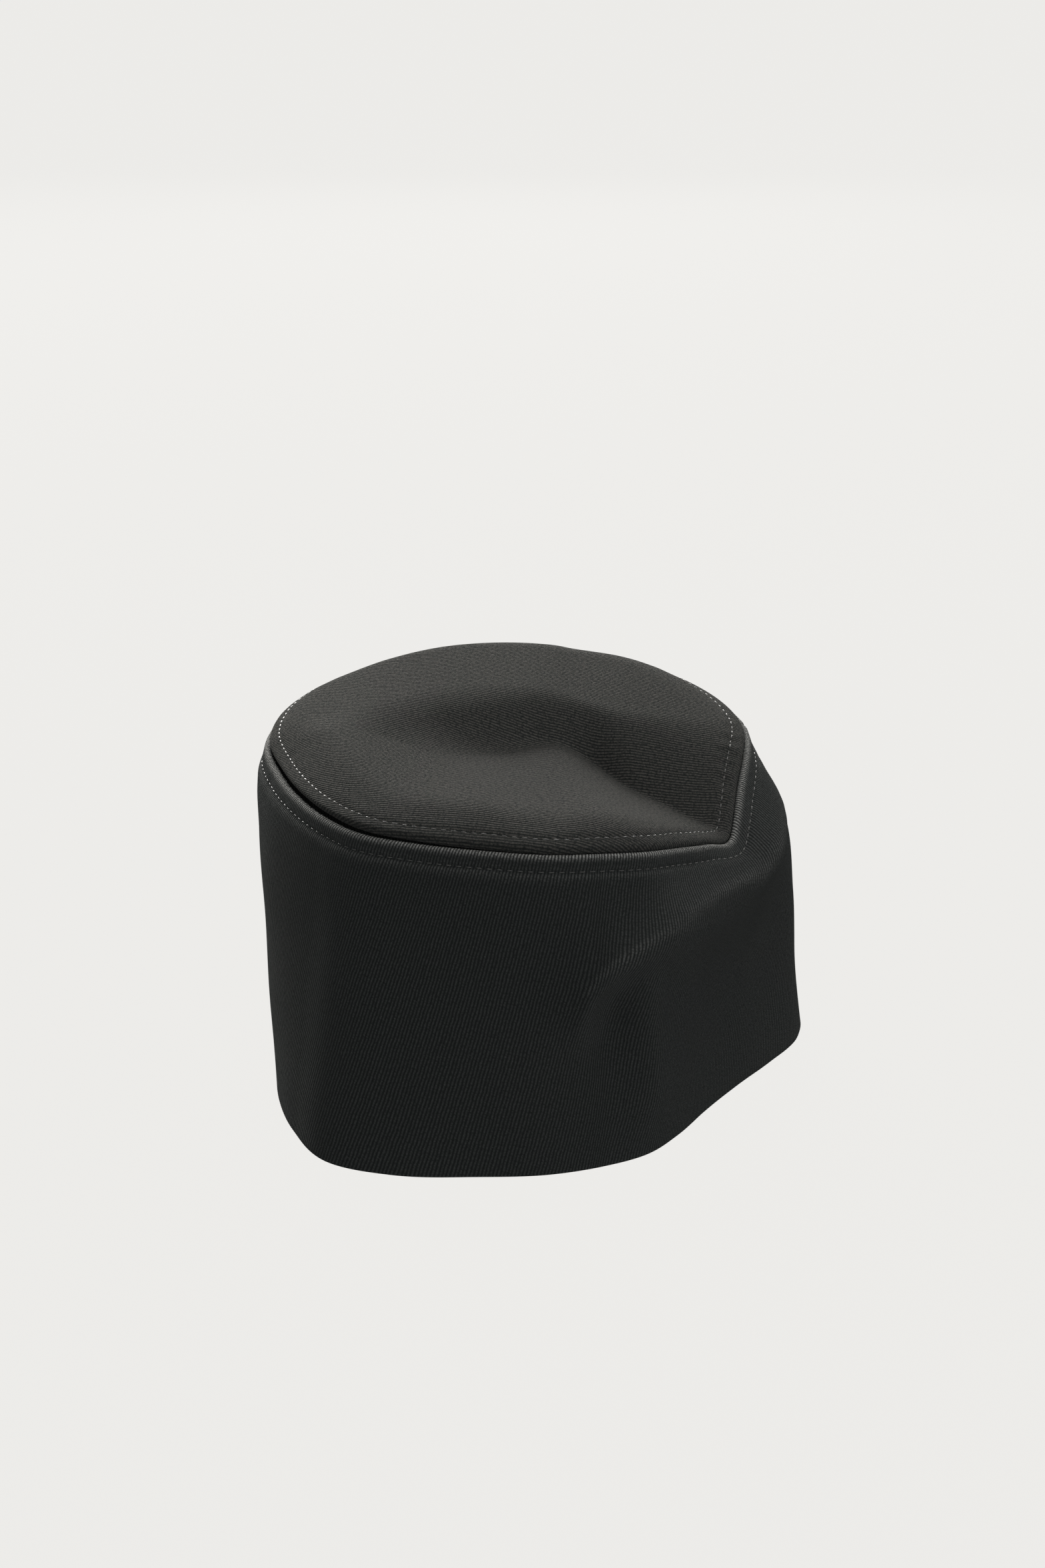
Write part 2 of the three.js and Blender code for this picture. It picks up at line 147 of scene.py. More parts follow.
# How far all the folds together push the cloth out
def fold_push(angle, height):
    total = np.zeros(height.shape)
    for name, rows in FOLDS.items():
        rows = np.array(rows, float)
        places = np.linspace(0, len(rows) - 1, FOLD_STEPS * (len(rows) - 1) + 1)
        line = smooth_curve(range(len(rows)), rows, np.repeat(places[:, None], 5, axis=1))
        lx = (line[:, 0] - rows[0, 0]) * MM_PER_DEGREE
        x = ((angle - rows[0, 0] + 180) % 360 - 180) * MM_PER_DEGREE + 0 * height
        nearest, push = np.full(height.shape, np.inf), np.zeros(height.shape)
        for k in range(len(line) - 1):
            dx, dy = lx[k + 1] - lx[k], line[k + 1, 1] - line[k, 1]
            length = math.hypot(dx, dy)
            t = np.clip(((x - lx[k]) * dx + (height - line[k, 1]) * dy) / length**2, 0, 1)
            ox, oy = x - lx[k] - t * dx, height - line[k, 1] - t * dy
            away = np.hypot(ox, oy)
            upper = np.sign(dx) * (dx * oy - dy * ox) / length
            stand, above, below = (line[k, c] + t * (line[k + 1, c] - line[k, c]) for c in (2, 3, 4))
            width = (above + below + np.tanh(upper / SIDE_BLEND) * (above - below)) / 2
            closer = away < nearest
            fall = np.exp(-((away / width) ** 2))
            if name == CREASED:
                off_crest = np.hypot(away, CREASE_ROUNDING) - CREASE_ROUNDING
                lip = LIP_SHARE * np.exp(-off_crest / LIP_WIDTH)
                slope = (1 - LIP_SHARE) * np.exp(-CREASE_FALL * off_crest / width)
                fall += (lip + slope - fall) * (1 + np.tanh(upper / CREASE_BLEND)) / 2
            push = np.where(closer, stand * fall, push)
            nearest = np.where(closer, away, nearest)
        total += push
    return total


def round_the_axis(angle, radius, height):
    turn = np.radians(angle)
    return np.stack(np.broadcast_arrays(radius * np.cos(turn), radius * np.sin(turn), height), -1)


# The band's outside at a share of its height, 0 at the hem and 1 at the seam
def band_outside(angle, share):
    share = np.asarray(share, float) + 0 * angle
    radii = np.stack([section(column, angle) for column in range(1, SEAM_RADIUS + 1)])
    radius = smooth_curve(LEVELS, radii, share)
    height = share * section(SEAM_HEIGHT, angle)
    hold = 1 - np.clip((share - FOLDS_HELD_FROM) / (1 - FOLDS_HELD_FROM), 0, 1) ** 2
    return round_the_axis(angle, radius + hold * fold_push(angle, height), height)


def seam_line(angle):
    return round_the_axis(angle, section(SEAM_RADIUS, angle), section(SEAM_HEIGHT, angle))


# The tip's relief in lines across its valley fold: how far along, then how far back the valley lies
# and its height, the rise of the lobe in front of it, how far back the top of the climb behind it
# lies and its height, the rise behind that, and how softly the valley is rounded
RELIEF = np.array([
    (-95, 5, 121, -0.12, 16, 123, -0.02, 10), (-73, 12, 126.5, -0.06, 25.5, 125.5, 0.01, 10),
    (-54, 13, 125.8, -0.02, 32, 129.7, 0.04, 10), (-40, 11, 123, 0.06, 39, 131.9, 0.05, 9),
    (-30, 9, 119.9, 0.11, 42.5, 132.7, 0.06, 8), (-19, 10, 117.8, 0.14, 45, 133, 0.07, 7),
    (-8, 13.5, 117, 0.11, 45, 132.9, 0.08, 5), (2, 18, 117.5, 0.08, 44, 131.8, 0.1, 3),
    (8, 18, 117.5, 0.07, 42.5, 130.3, 0.12, 2), (14, 16, 115.6, 0.1, 39.5, 128.7, 0.11, 1.5),
    (21, 12, 112.3, 0.14, 35.5, 127.3, 0.12, 1.5), (33, -1.5, 108.1, 0.19, 31, 125.8, 0.14, 1.5),
    (44, -9, 105.3, 0.2, 31, 124.5, 0.14, 1.5), (56, -18, 102.2, 0.21, 30.5, 123, 0.14, 1.5),
    (69, -27, 100, 0.17, 30, 121.9, 0.13, 1.5), (90, -40, 98, 0.2, 30, 117.5, 0.1, 1.5),
], float)
VALLEY_TURN = math.radians(68.7)  # from the valley's own axes to X and Y
CLIMB_STEEPNESS = 1.5  # at the valley, against a straight climb to the top
CLIMB_BELOW = -0.5  # how far the climb's slope runs on in front of the valley
PLATEAU_HEIGHT = 131.5  # of the swollen back half, at its front edge
PLATEAU_EDGE = 40  # how far back that front edge lies
PLATEAU_CLIMB = 0.07  # rise toward the back
PLATEAU_DROOP = 0.0006  # fall to the sides, per mm squared
PLATEAU_MIDDLE = -30  # where along the valley the plateau is highest
PLATEAU_ROUNDING = 4
LOBE_HEIGHT = 124.5  # of the front half
LOBE_ROUNDING = 6
SWELL_POWER = 2.6  # how quickly the tip swells up from the seam
TIP_CENTRE = np.array([-11.5, 17.4])  # at the bend of the valley


# The lower of two heights, rounded off where they meet
def soft_lower(a, b, rounding):
    t = np.clip(0.5 + (b - a) / (2 * rounding), 0, 1)
    return b + (a - b) * t - rounding * t * (1 - t)


# Height of the tip: a front lobe and a climb to the swollen back half meet in the valley
def tip_relief(x, y):
    c, s = math.cos(VALLEY_TURN), math.sin(VALLEY_TURN)
    along, back = c * x + s * y, c * y - s * x
    valley, floor, lobe_rise, top, top_height, rise_behind, rounding = (
        smooth_curve(RELIEF[:, 0], RELIEF[:, k], along) for k in range(1, 8)
    )
    up = np.clip((back - valley) / (top - valley), CLIMB_BELOW, 1)
    bend = np.where(up < 0, 0, (CLIMB_STEEPNESS - 1) * up**2)
    climb = up * (CLIMB_STEEPNESS - bend)
    climbed = top_height - floor - rise_behind * (top - valley)
    rising = floor + climbed * climb + rise_behind * (back - valley)
    plateau = PLATEAU_HEIGHT + PLATEAU_CLIMB * (back - PLATEAU_EDGE)
    plateau -= PLATEAU_DROOP * (along - PLATEAU_MIDDLE) ** 2
    rising = soft_lower(rising, plateau, PLATEAU_ROUNDING)
    lobe = soft_lower(floor - lobe_rise * (back - valley), LOBE_HEIGHT, LOBE_ROUNDING)
    return -soft_lower(-rising, -lobe, rounding)


# The tip's outside at a share of the way from the seam, 0, to its centre, 1
def tip_outside(angle, share):
    start = seam_line(angle) + 0 * (np.asarray(share, float) + 0 * angle)[..., None]
    share = share + 0 * start[..., 0]
    reach = np.hypot(start[..., 0] - TIP_CENTRE[0], start[..., 1] - TIP_CENTRE[1])
    swollen = np.clip(reach * share / section(TIP_SWELL, angle), 0, 1)
    swell = 1 - (1 - swollen) ** SWELL_POWER
    x = start[..., 0] + (TIP_CENTRE[0] - start[..., 0]) * share
    y = start[..., 1] + (TIP_CENTRE[1] - start[..., 1]) * share
    return np.stack([x, y, start[..., 2] + (tip_relief(x, y) - start[..., 2]) * swell], -1)


def unit(v):
    return v / np.linalg.norm(v, axis=-1, keepdims=True)


SMALL_TURN = 0.5  # degrees, a step for measuring which way the cloth faces
SMALL_SHARE = 0.004  # such a step up the cloth


# Which way either outside faces
def facing(outside, angle, share):
    across = outside(angle + SMALL_TURN, share) - outside(angle - SMALL_TURN, share)
    along = outside(angle, share + SMALL_SHARE) - outside(angle, share - SMALL_SHARE)
    return unit(np.cross(across, along))


BESIDE_SEAM = 0.03  # share of either cloth's way, where its facing at the seam is taken
WELL_BELOW_SEAM = 0.9  # share of the band's height
ROLL_ANGLES = np.radians([12, 25, 38, 51, 64, 77, 90])


# At the seam both cloths turn in side by side, along the plane that halves the corner
def turned_edge(outside, side, angle, start, opening):
    off_band = facing(band_outside, angle, 1 - BESIDE_SEAM)
    off_tip = facing(tip_outside, angle, BESIDE_SEAM)
    inward = -unit(off_band + off_tip)
    along = unit(seam_line(angle + SMALL_TURN) - seam_line(angle - SMALL_TURN))
    to_band = -np.cross(along, inward)
    flip = np.sum(to_band * (band_outside(angle, WELL_BELOW_SEAM) - seam_line(angle)), -1) < 0
    to_band[flip] *= -1
    spread = -np.sum(inward * off_band, -1)[:, None]
    face = lambda depth: (
        seam_line(angle) + inward * depth / spread + to_band * side * opening / 2
    )
    corner = face(0)
    roll = [
        corner + (start - corner) * (1 - math.sin(a)) + (face(EDGE_DEPTH) - corner) * (1 - math.cos(a))
        for a in ROLL_ANGLES
    ]
    return roll, face(EDGE_DEPTH), face(FOLDED_WOOL)


# Rows that carry the cloth round a corner
def bend_round(start, corner, end):
    return [
        start * (1 - t) ** 2 + corner * 2 * t * (1 - t) + end * t * t for t in (0.25, 0.5, 0.75)
    ]


SHARE_STEPS = 200  # for measuring along the cloth


# The share at which each column has come a given distance along the cloth from the seam
def shares_from_seam(outside, angle, distance, seam_share):
    shares = np.linspace(0, 1, SHARE_STEPS + 1)
    points = outside(angle, shares[:, None])
    steps = np.linalg.norm(np.diff(points, axis=0), axis=-1)
    if seam_share == 1:
        shares, steps = shares[::-1], steps[::-1]
    gone = np.vstack([np.zeros(len(angle)), np.cumsum(steps, axis=0)])
    distance = np.asarray(distance, float) + 0 * angle
    found = np.stack([np.interp(distance[:, j], gone[:, j], shares) for j in range(len(angle))], 1)
    return found, gone[-1]


# Columns evenly spaced along the strip, starting and ending at the back seam, and closer beside it
BESIDE_BACK_SEAM = np.array([0.5, 1.0, 1.8, 3.2])
WAIST = 0.55  # share of the height at which the strip's length is measured
STEPS_PER_DEGREE = 8
fine_angles = np.linspace(BACK_SEAM_AT, BACK_SEAM_AT + 360, 360 * STEPS_PER_DEGREE + 1)
waist = band_outside(fine_angles, WAIST)
gone_round = np.append(0, np.cumsum(np.linalg.norm(np.diff(waist, axis=0), axis=-1)))
strip_length = gone_round[-1]
along_strip = strip_length * np.linspace(0, 1, COLUMNS_ROUND + 1)
along_strip[1:5] = BESIDE_BACK_SEAM
along_strip[-5:-1] = strip_length - BESIDE_BACK_SEAM[::-1]
round_angles = np.interp(along_strip, gone_round, fine_angles)


# A soft swelling or hollow of a width, at a distance from its middle
def swelling(distance, width):
    return np.exp(-((distance / width) ** 2))


EDGE_STANDS_OUT = 0.5  # at the seam, over the allowance
DRAWN_IN, DRAWN_WIDTH = 0.4, 0.9  # at the stitches
FULL, FULL_WIDTH, FULL_PAST_STITCHES = 0.32, 2.6, 3.2
PUCKER, PUCKER_WIDTH = 0.06, 3.2  # small waves across the stitches, about 12 and 19 mm long


# How far the cloth stands out near the topstitching: most at the seam's edge, drawn in at the
# stitches, full again just past them, with puckers that fade away
def stitched_relief(distance, along, depth, pucker):
    from_stitches = distance - TOPSTITCH_FROM_SEAM
    edge = EDGE_STANDS_OUT * np.clip(1 - distance / TOPSTITCH_FROM_SEAM, 0, 1)
    drawn = -DRAWN_IN * swelling(from_stitches, DRAWN_WIDTH)
    past = FULL * swelling(from_stitches - FULL_PAST_STITCHES, FULL_WIDTH)
    waves = np.sin(along / 1.9 + 1.3 * np.sin(along / 11)) + 0.7 * np.sin(along / 3.1 + 2)
    return depth * (edge + drawn + past) + pucker * waves * swelling(from_stitches, PUCKER_WIDTH)


SLOW_WAVES = 0.35
QUICKER_WAVES = 0.22


# Gentle unevenness of cloth that has been handled: waves that cross
def handled(along, up):
    slow = np.sin(along / 23 + up / 31 + 1.1) * np.sin(up / 19 + 0.7)
    quicker = np.sin(along / 11 - up / 17) * np.sin(up / 13 + along / 37)
    return SLOW_WAVES * slow + QUICKER_WAVES * quicker


GROOVE_DEPTH, GROOVE_WIDTH = 0.75, 0.7
BANK_HEIGHT, BANK_WIDTH, BANK_FROM_GROOVE = 0.25, 1.6, 2.6


# The closing seam: a narrow groove between two low banks
def closing_seam(along):
    edge = np.minimum(along, strip_length - along)
    bank = BANK_HEIGHT * swelling(edge - BANK_FROM_GROOVE, BANK_WIDTH)
    return -GROOVE_DEPTH * swelling(edge, GROOVE_WIDTH) + bank


# The face's rows: even from the hem up, then closer toward the stitches and the edge, each given by
# its distance from the seam
EVEN_ROWS = 60
CLOSER_FROM = 28
EVEN_AT_HEM = 2  # the hem keeps its shape when the cloth is handled, and so does the seam
FADES_FROM_HEM = 12
FADES_FROM_SEAM = 20

foot_share = WOOL / section(SEAM_HEIGHT, round_angles)
_, slant_length = shares_from_seam(band_outside, round_angles, np.zeros((1, 1)), 1)
foot = slant_length * (1 - foot_share)
spacing = np.linspace(0, 1, EVEN_ROWS + 1)[:-1, None]
near_edge = np.array([
    CLOSER_FROM, 24.5, 21.5, 19, 17, 15.2, 13.6, 12.2, 11, 10, 9.2, 8.5, 7.9, 7.4, 7, 6.7,
    TOPSTITCH_FROM_SEAM, 6.3, 6, 5.6, 5.1, 4.6, 4.1, 3.6, 3.1, EDGE_SHOULDER,
])[:, None]
from_seam = np.vstack([foot * (1 - spacing) + CLOSER_FROM * spacing, near_edge + 0 * foot])
band_shares, _ = shares_from_seam(band_outside, round_angles, from_seam, 1)
band_shares[0] = foot_share
band_normals = facing(band_outside, round_angles, band_shares)
outer = band_outside(round_angles, band_shares)
off_the_hem = np.clip((outer[..., 2] - EVEN_AT_HEM) / FADES_FROM_HEM, 0, 1)
off_the_seam = np.clip(from_seam / FADES_FROM_SEAM, 0, 1)
stand_out = (
    stitched_relief(from_seam, along_strip, 1.0, PUCKER)
    + off_the_hem * off_the_seam * handled(along_strip, outer[..., 2])
    + closing_seam(along_strip)
)
stand_out[0] = closing_seam(along_strip)
outer = outer + band_normals * stand_out[..., None]

# The hem: up inside the band, and round the fold that it stands on
turn_up = np.array([HEM_TURNED_UP, 13, 11.5, 9.5, 7.5, 5.5, 3.8, 2.4])[:, None]
turn_up = turn_up / section(SEAM_HEIGHT, round_angles)
inside_hem = band_outside(round_angles, turn_up) - FOLDED_WOOL * facing(
    band_outside, round_angles, turn_up
)
level_normal = unit(band_normals[0] * [1, 1, 0])
fold_centre = outer[0] - level_normal * FOLDED_WOOL / 2
hem_fold = [
    fold_centre
    + FOLDED_WOOL / 2 * level_normal * math.cos(a)
    - np.array([0, 0, outer[0, 0, 2]]) * math.sin(a)
    for a in np.radians([180, 157, 135, 112, 90, 68, 45, 23])
]

# The seam edge, and its allowance down inside
roll, face_end, face_corner = turned_edge(
    band_outside, 1, round_angles, outer[-1], SEAM_OPENING
)
allowance_at = np.array([3.6, 4.4, 5.4, 6.4, 7.3, SEAM_ALLOWANCE])[:, None]
allowance_shares, _ = shares_from_seam(band_outside, round_angles, allowance_at, 1)
allowance = band_outside(round_angles, allowance_shares) - FOLDED_WOOL * facing(
    band_outside, round_angles, allowance_shares
)
into_allowance = bend_round(face_end, face_corner, allowance[0])
band_rows = np.stack(
    [*inside_hem, *hem_fold, *outer, *roll, *into_allowance, *allowance]
)

MERGED_WITHIN = 0.000002  # m, for the ends of a strip and for the middle of the tip


# A piece of cloth: a grid whose vertices are laid in rows, then made solid. Its own measure in mm
# is its UV map, and how much painted highlight each vertex carries is an attribute.
def lay_cloth(name, rows, cloth_across, cloth_up, painted_highlight):
    high, wide = rows.shape[:2]
    bpy.ops.object.select_all(action="DESELECT")
    bpy.ops.mesh.primitive_grid_add(x_subdivisions=wide - 1, y_subdivisions=high - 1, size=1)
    cloth = bpy.context.object
    cloth.name = cloth.data.name = name
    places = (rows + AXIS) / 1000
    places[:, -1] = places[:, 0]  # the two ends meet all along
    cloth.data.vertices.foreach_set("co", places.reshape(-1).astype(np.float32))
    corner = np.empty(len(cloth.data.loops), np.int32)
    cloth.data.loops.foreach_get("vertex_index", corner)
    measure = np.stack([cloth_across.reshape(-1), cloth_up.reshape(-1)], -1)[corner]
    cloth.data.uv_layers.active.name = "cloth"
    cloth.data.uv_layers.active.data.foreach_set("uv", measure.reshape(-1).astype(np.float32))
    painted_highlight_layer = cloth.data.attributes.new("painted_highlight", "FLOAT", "POINT")
    painted_highlight_layer.data.foreach_set("value", (painted_highlight + 0 * cloth_up).reshape(-1).astype(np.float32))
    cloth.data.update()
    bpy.ops.object.mode_set(mode="EDIT")
    bpy.ops.mesh.select_all(action="SELECT")
    bpy.ops.mesh.remove_doubles(threshold=MERGED_WITHIN)
    bpy.ops.object.mode_set(mode="OBJECT")
    wall = cloth.modifiers.new("wool", "SOLIDIFY")
    wall.thickness = WOOL / 1000
    wall.offset = -1
    bpy.ops.object.modifier_apply(modifier="wool")
    bpy.ops.object.shade_smooth()
    return cloth


first_outer = len(inside_hem) + len(hem_fold)
first_roll = first_outer + len(outer)
band_steps = np.linalg.norm(np.diff(band_rows, axis=0), axis=-1)
up_the_cloth = np.vstack([np.zeros(len(round_angles)), np.cumsum(band_steps, axis=0)])
up_the_cloth -= up_the_cloth[first_outer]

# Painted highlight: the cloth is painted lighter along the seam's edge and on the ridge's crest,
# where the face bends sharply, standing in for the light that those places catch
CREST_PAINTED_HIGHLIGHT = 0.22  # against the seam's edge
SLIGHT_BEND = 0.05  # per mm, not painted lighter yet
SHARP_BEND = 0.2  # more than that
LEFT_OUT = 5  # rows at the hem and at the seam's edge, which bend sharply on their own account
EDGE_MIDDLE = 0.9  # of the painted highlight along the edge, past the last of the face's rows
EDGE_WIDTH = 1.3
painted_highlight = swelling(up_the_cloth - up_the_cloth[first_roll] - EDGE_MIDDLE, EDGE_WIDTH)
between = slice(first_outer + LEFT_OUT, first_roll - LEFT_OUT)
reach = np.hypot(band_rows[between, :, 0], band_rows[between, :, 1])
row_gap = np.gradient(up_the_cloth[between], axis=0)
bend = -np.gradient(np.gradient(reach, axis=0) / row_gap, axis=0) / row_gap
painted_highlight[between] += CREST_PAINTED_HIGHLIGHT * np.clip((bend - SLIGHT_BEND) / SHARP_BEND, 0, 1)

across_band = np.broadcast_to(along_strip, band_rows.shape[:2])
side_band = lay_cloth("band_cloth", band_rows, across_band, up_the_cloth, painted_highlight)


# Adds a node and feeds its sockets, each with a value or from another node's socket
def node(tree, kind, feeds=None, **settings):
    made = tree.nodes.new(kind)
    for key, value in settings.items():
        setattr(made, key, value)
    for socket, value in (feeds or {}).items():
        target = made.inputs[socket]
        if isinstance(value, bpy.types.NodeSocket):
            tree.links.new(value, target)
        else:
            target.default_value = value
    return made


# One step of arithmetic on up to three values
def maths(tree, how, a, b=0.0, c=0.0):
    return node(tree, "ShaderNodeMath", {0: a, 1: b, 2: c}, operation=how).outputs[0]


RIB_FULLNESS = 0.8  # lower is fuller
FLOAT_LENGTH = 0.95  # mm, of the yarn's short steps along a rib
FLOAT_SLANT = 2.4  # across a rib, in radians of a float
FLOAT_SLIP = 6.28  # from rib to rib, at most
FLOAT_DEPTH = 0.2  # of a rib's height
FLOAT_SHADE = 0.35  # of a rib's colour, taken off as painted shade between the floats
FIBRE_SHIFT = 6.0  # how far the fibres put the floats out of step
FIBRE_HEIGHT = 0.3
BAREST = 0.1  # the least that the grain leaves of a rib's hairs


# The twill: fine raised ribs, each a line of short floats of yarn, no two quite alike. X of the
# vector runs across the ribs and Y along them, both in mm.
def twill_group():
    tree = bpy.data.node_groups.new("twill_ribs", "ShaderNodeTree")
    for name, kind, way in (
        ("Cloth", "NodeSocketVector", "INPUT"),
        ("Rib spacing", "NodeSocketFloat", "INPUT"),
        ("Unevenness", "NodeSocketFloat", "INPUT"),
        ("Grain", "NodeSocketFloat", "INPUT"),
        ("Height", "NodeSocketFloat", "OUTPUT"),
        ("Raised", "NodeSocketFloat", "OUTPUT"),
        ("Lint", "NodeSocketFloat", "OUTPUT"),
    ):
        tree.interface.new_socket(name=name, in_out=way, socket_type=kind)
    given = node(tree, "NodeGroupInput")
    cloth = given.outputs["Cloth"]
    wander = node(
        tree, "ShaderNodeTexNoise", {"Vector": cloth, "Scale": 0.22, "Detail": 1.0},
    ).outputs["Fac"]
    apart = node(tree, "ShaderNodeSeparateXYZ", {0: cloth})
    across = maths(tree, "DIVIDE", apart.outputs["X"], given.outputs["Rib spacing"])
    across = maths(tree, "MULTIPLY_ADD", wander, given.outputs["Unevenness"], across)
    rib_number = maths(tree, "FLOOR", across)
    within = maths(tree, "FRACT", across)
    wave = maths(tree, "COSINE", maths(tree, "MULTIPLY", within, 2 * math.pi))
    rounded = maths(tree, "POWER", maths(tree, "MULTIPLY_ADD", wave, -0.5, 0.5), RIB_FULLNESS)
    # Floats: short slanting steps along each rib, each rib's set a little out of step
    slip = node(tree, "ShaderNodeTexWhiteNoise", {"W": rib_number}, noise_dimensions="1D")
    fibre = node(
        tree, "ShaderNodeTexNoise", {"Vector": cloth, "Scale": 1.7, "Detail": 4.0, "Roughness": 0.75},
    ).outputs["Fac"]
    slipped = maths(tree, "MULTIPLY", slip.outputs["Value"], FLOAT_SLIP)
    slanted = maths(tree, "MULTIPLY_ADD", within, FLOAT_SLANT, slipped)
    steps = maths(tree, "MULTIPLY_ADD", apart.outputs["Y"], 2 * math.pi / FLOAT_LENGTH, slanted)
    steps = maths(tree, "MULTIPLY_ADD", fibre, FIBRE_SHIFT, steps)
    floats = maths(tree, "MULTIPLY_ADD", maths(tree, "SINE", steps), 0.5, 0.5)
    stepped = maths(tree, "MULTIPLY_ADD", floats, FLOAT_DEPTH, 1 - FLOAT_DEPTH)
    height = maths(tree, "MULTIPLY", rounded, stepped)
    height = maths(tree, "MULTIPLY_ADD", fibre, FIBRE_HEIGHT, height)
    # Grain: small tufts of hair that lift some places on the ribs and leave others bare
    tufts = node(
        tree, "ShaderNodeTexNoise", {"Vector": cloth, "Scale": 1.0, "Detail": 3.0, "Roughness": 0.8},
    ).outputs["Fac"]
    grain = maths(tree, "SUBTRACT", tufts, 0.5)
    uneven = maths(tree, "MULTIPLY_ADD", grain, given.outputs["Grain"], 1.0)
    uneven = maths(tree, "MAXIMUM", uneven, BAREST)
    # Painted shade darkens the gaps between floats, and the tufts' grain lifts the ribs unevenly
    shaded = maths(tree, "MULTIPLY_ADD", floats, FLOAT_SHADE, 1 - FLOAT_SHADE)
    raised = maths(tree, "MULTIPLY", maths(tree, "MULTIPLY", rounded, uneven), shaded)
    # Lint: a few pale specks
    specks = node(
        tree, "ShaderNodeTexNoise", {"Vector": cloth, "Scale": 1.9, "Detail": 2.0},
    ).outputs["Fac"]
    lint = node(
        tree, "ShaderNodeMapRange", {"Value": specks, "From Min": 0.68, "From Max": 0.8},
    ).outputs["Result"]
    node(tree, "NodeGroupOutput", {"Height": height, "Raised": raised, "Lint": lint})
    return tree


twill = twill_group()

# Black wool's colour between the ribs, darker as painted shade, on their crests, and of lint in it
GROOVE_BLACK_PAINTED_SHADE = (0.0095, 0.0105, 0.0103, 1)
CREST_BLACK = (0.028, 0.0295, 0.029, 1)
TIP_CREST_PAINTED_LIGHT = (0.0325, 0.0315, 0.0295, 1)  # painted light: lighter and warmer than the band's, as the warm light falls on the top
LINT_GREY = (0.06, 0.06, 0.06, 1)
PAINTED_HIGHLIGHT_GREY = (0.16, 0.16, 0.155, 1)  # painted highlight along the seam's edge and on the ridge's crest
RIB_SPACING = 1.2  # mm
RIB_WANDER = 0.45  # how far a rib strays, against the spacing
FUZZ = 0.021  # how much light the cloth's fine hairs catch


# Matt black wool: painted shade between the ribs, lighter where they stand up, a little fuzzy
def wool_cloth(name, turn, rib_height, grain, crest_black):
    material = bpy.data.materials.new(name)
    material.use_nodes = True
    tree = material.node_tree
    surface = tree.nodes["Principled BSDF"]
    measure = node(tree, "ShaderNodeUVMap", uv_map="cloth").outputs["UV"]
    turned = node(
        tree, "ShaderNodeMapping", {"Vector": measure, "Rotation": (0, 0, math.radians(turn))},
    ).outputs["Vector"]
    weave = tree.nodes.new("ShaderNodeGroup")
    weave.node_tree = twill
    tree.links.new(turned, weave.inputs["Cloth"])
    weave.inputs["Rib spacing"].default_value = RIB_SPACING
    weave.inputs["Unevenness"].default_value = RIB_WANDER
    weave.inputs["Grain"].default_value = grain
    raised = weave.outputs["Raised"]
    painted_highlight = node(tree, "ShaderNodeAttribute", attribute_name="painted_highlight").outputs["Fac"]
    # Painted highlight: the crests turn pale grey along the band's edge and on the ridge
    crest = node(
        tree, "ShaderNodeMix", {0: painted_highlight, 6: crest_black, 7: PAINTED_HIGHLIGHT_GREY}, data_type="RGBA",
    ).outputs[2]
    # Painted shade: darker down in the grooves than on the crests
    ribs = node(
        tree, "ShaderNodeMix", {0: raised, 6: GROOVE_BLACK_PAINTED_SHADE, 7: crest}, data_type="RGBA",
    ).outputs[2]
    linted = node(
        tree, "ShaderNodeMix", {0: weave.outputs["Lint"], 6: ribs, 7: LINT_GREY},
        data_type="RGBA",
    ).outputs[2]
    tree.links.new(linted, surface.inputs["Base Color"])
    bump = node(
        tree, "ShaderNodeBump",
        {"Height": weave.outputs["Height"], "Strength": 1.0, "Distance": rib_height / 1000},
    )
    tree.links.new(bump.outputs["Normal"], surface.inputs["Normal"])
    surface.inputs["Specular IOR Level"].default_value = 0.0
    surface.inputs["Sheen Weight"].default_value = FUZZ
    surface.inputs["Sheen Roughness"].default_value = 0.4
    surface.inputs["Sheen Tint"].default_value = (0.95, 0.95, 0.93, 1)
    return material


side_band.data.materials.append(wool_cloth(
    "black_wool_band", turn=14.0, rib_height=0.36, grain=4.5, crest_black=CREST_BLACK,
))
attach(side_band, "root")
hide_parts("side_band")

# Crown tip. One oval of the same twill wool, cut with its ribs nearly along the head. Its edge is
# turned under along the seam and topstitched too. The front half lies as a slack lobe, folded down
# in a valley against the swollen back half.

TIP_STITCH_FROM_SEAM = 6.0
RIBS_OF_TIP = math.radians(55.7)  # from +X toward +Y
TIP_DRAWN_IN = 0.45  # by its stitches, against the band
CENTRE_LEFT_EVEN = 0.25  # share of the way round the centre that stands out less
JUST_SHORT = 0.99  # of the centre, where the cloth's facing is still found
PUCKERED_MORE = 0.2  # where the valley runs out at the seam
PUCKERED_AT, PUCKERED_OVER = 440, 22  # degrees, as the strip runs from 96 to 456
PUFFED, PUFFED_WIDTH = 1.5, 7.5  # mm that the cloth swells beside the seam at the left front
PUFFED_AT, PUFFED_OVER = 285, 52
EDGE_GAPES = 1.3  # how far the tip's edge stands off the band's at the left front
GAPES_AT, GAPES_OVER = 275, 45

